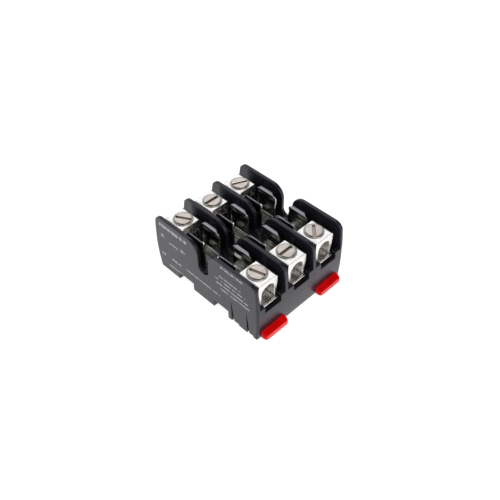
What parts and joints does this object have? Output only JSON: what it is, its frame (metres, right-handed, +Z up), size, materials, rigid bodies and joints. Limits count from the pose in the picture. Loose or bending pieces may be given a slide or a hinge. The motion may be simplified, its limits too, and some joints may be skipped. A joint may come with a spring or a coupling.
{
  "type": "cartridge fuse holder block",
  "caption": "Multi-pole holder block for small cartridge fuses, with barrier walls, spring clips, box wire terminals with slotted screws, and pull latches for a mounting rail.",
  "frame": {"origin": "under the middle pole, halfway between the two rows of terminal screws, on the plane that the feet stand on", "axes": "+X along the fuses towards the end with the latches, +Y across the poles, +Z up"},
  "size_m": [0.0803, 0.0631, 0.0367],
  "materials": {
    "housing_plastic": "semi-gloss moulded thermoset",
    "tin_plate": "satin tin plate",
    "screw_steel": "satin plated steel",
    "washer_steel": "plated steel",
    "clip_metal": "tin-plated copper alloy",
    "rivet_metal": "plated steel",
    "latch_plastic": "glossy moulded plastic",
    "spring_steel": "spring wire"
  },
  "bodies": {
    "base": {"base_housing": "housing_plastic", "box_lug_l1": "tin_plate", "box_lug_l2": "tin_plate", "box_lug_l3": "tin_plate", "box_lug_r1": "tin_plate", "box_lug_r2": "tin_plate", "box_lug_r3": "tin_plate", "fuse_clip_l1": "clip_metal", "fuse_clip_l2": "clip_metal", "fuse_clip_l3": "clip_metal", "fuse_clip_r1": "clip_metal", "fuse_clip_r2": "clip_metal", "fuse_clip_r3": "clip_metal", "clip_rivets": "rivet_metal", "latch_spring_1": "spring_steel", "latch_spring_3": "spring_steel"},
    "washer_l1": {"screw_washer_l1": "washer_steel"},
    "screw_l1": {"terminal_screw_l1": "screw_steel"},
    "washer_l2": {"screw_washer_l2": "washer_steel"},
    "screw_l2": {"terminal_screw_l2": "screw_steel"},
    "washer_l3": {"screw_washer_l3": "washer_steel"},
    "screw_l3": {"terminal_screw_l3": "screw_steel"},
    "washer_r1": {"screw_washer_r1": "washer_steel"},
    "screw_r1": {"terminal_screw_r1": "screw_steel"},
    "washer_r2": {"screw_washer_r2": "washer_steel"},
    "screw_r2": {"terminal_screw_r2": "screw_steel"},
    "washer_r3": {"screw_washer_r3": "washer_steel"},
    "screw_r3": {"terminal_screw_r3": "screw_steel"},
    "latch_1": {"rail_latch_1": "latch_plastic"},
    "latch_3": {"rail_latch_3": "latch_plastic"}
  },
  "joints": [
    {"name": "screw_lift_l1", "type": "slide", "parent": "base", "child": "washer_l1", "axis": [0, 0, 1], "range_m": [0, 0.006]},
    {"name": "screw_turn_l1", "type": "hinge", "parent": "washer_l1", "child": "screw_l1", "pos_m": [-0.0269, -0.0204, 0.03315], "axis": [0, 0, 1], "range_deg": [0, 1728.1]},
    {"name": "screw_lift_l2", "type": "slide", "parent": "base", "child": "washer_l2", "axis": [0, 0, 1], "range_m": [0, 0.006]},
    {"name": "screw_turn_l2", "type": "hinge", "parent": "washer_l2", "child": "screw_l2", "pos_m": [-0.0269, 0, 0.03315], "axis": [0, 0, 1], "range_deg": [0, 1728.1]},
    {"name": "screw_lift_l3", "type": "slide", "parent": "base", "child": "washer_l3", "axis": [0, 0, 1], "range_m": [0, 0.006]},
    {"name": "screw_turn_l3", "type": "hinge", "parent": "washer_l3", "child": "screw_l3", "pos_m": [-0.0269, 0.0204, 0.03315], "axis": [0, 0, 1], "range_deg": [0, 1728.1]},
    {"name": "screw_lift_r1", "type": "slide", "parent": "base", "child": "washer_r1", "axis": [0, 0, 1], "range_m": [0, 0.006]},
    {"name": "screw_turn_r1", "type": "hinge", "parent": "washer_r1", "child": "screw_r1", "pos_m": [0.0269, -0.0204, 0.03315], "axis": [0, 0, 1], "range_deg": [0, 1728.1]},
    {"name": "screw_lift_r2", "type": "slide", "parent": "base", "child": "washer_r2", "axis": [0, 0, 1], "range_m": [0, 0.006]},
    {"name": "screw_turn_r2", "type": "hinge", "parent": "washer_r2", "child": "screw_r2", "pos_m": [0.0269, 0, 0.03315], "axis": [0, 0, 1], "range_deg": [0, 1728.1]},
    {"name": "screw_lift_r3", "type": "slide", "parent": "base", "child": "washer_r3", "axis": [0, 0, 1], "range_m": [0, 0.006]},
    {"name": "screw_turn_r3", "type": "hinge", "parent": "washer_r3", "child": "screw_r3", "pos_m": [0.0269, 0.0204, 0.03315], "axis": [0, 0, 1], "range_deg": [0, 1728.1]},
    {"name": "latch_slide_1", "type": "slide", "parent": "base", "child": "latch_1", "axis": [1, 0, 0], "range_m": [0, 0.0036], "stiffness_N_per_m": 300, "deforming": ["latch_spring_1"]},
    {"name": "latch_slide_3", "type": "slide", "parent": "base", "child": "latch_3", "axis": [1, 0, 0], "range_m": [0, 0.0036], "stiffness_N_per_m": 300, "deforming": ["latch_spring_3"]}
  ],
  "couplings": [
    {"joint": "screw_turn_l1", "follows": "screw_lift_l1", "rad_per_m": 5026.5},
    {"joint": "screw_turn_l2", "follows": "screw_lift_l2", "rad_per_m": 5026.5},
    {"joint": "screw_turn_l3", "follows": "screw_lift_l3", "rad_per_m": 5026.5},
    {"joint": "screw_turn_r1", "follows": "screw_lift_r1", "rad_per_m": 5026.5},
    {"joint": "screw_turn_r2", "follows": "screw_lift_r2", "rad_per_m": 5026.5},
    {"joint": "screw_turn_r3", "follows": "screw_lift_r3", "rad_per_m": 5026.5}
  ]
}
